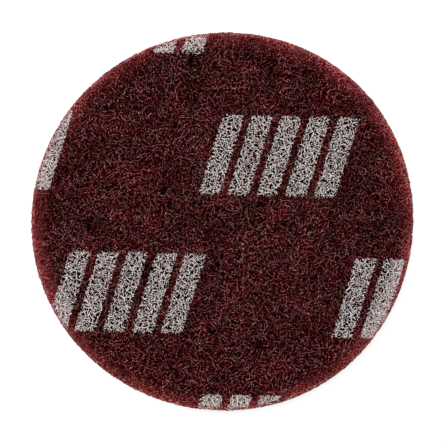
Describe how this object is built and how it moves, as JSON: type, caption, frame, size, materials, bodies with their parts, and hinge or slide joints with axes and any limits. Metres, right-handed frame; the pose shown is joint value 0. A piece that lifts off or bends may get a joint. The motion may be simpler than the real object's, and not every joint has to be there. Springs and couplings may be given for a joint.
{
  "type": "abrasive disc",
  "caption": "Round pad of springy maroon non-woven abrasive web, with pale printed bars on its working face and a plain back that a hook-faced sander pad grips.",
  "frame": {"origin": "centre of the back face, which the disc lies on", "axes": "+Z along the disc's axis, out of the printed working face; +X to the right as the print is looked at, +Y up it"},
  "size_m": [0.125, 0.125, 0.0064],
  "materials": {
    "abrasive_web": "rough, open fibre web with resin and mineral grit"
  },
  "bodies": {
    "root": {"abrasive_disc": "abrasive_web"}
  },
  "joints": []
}
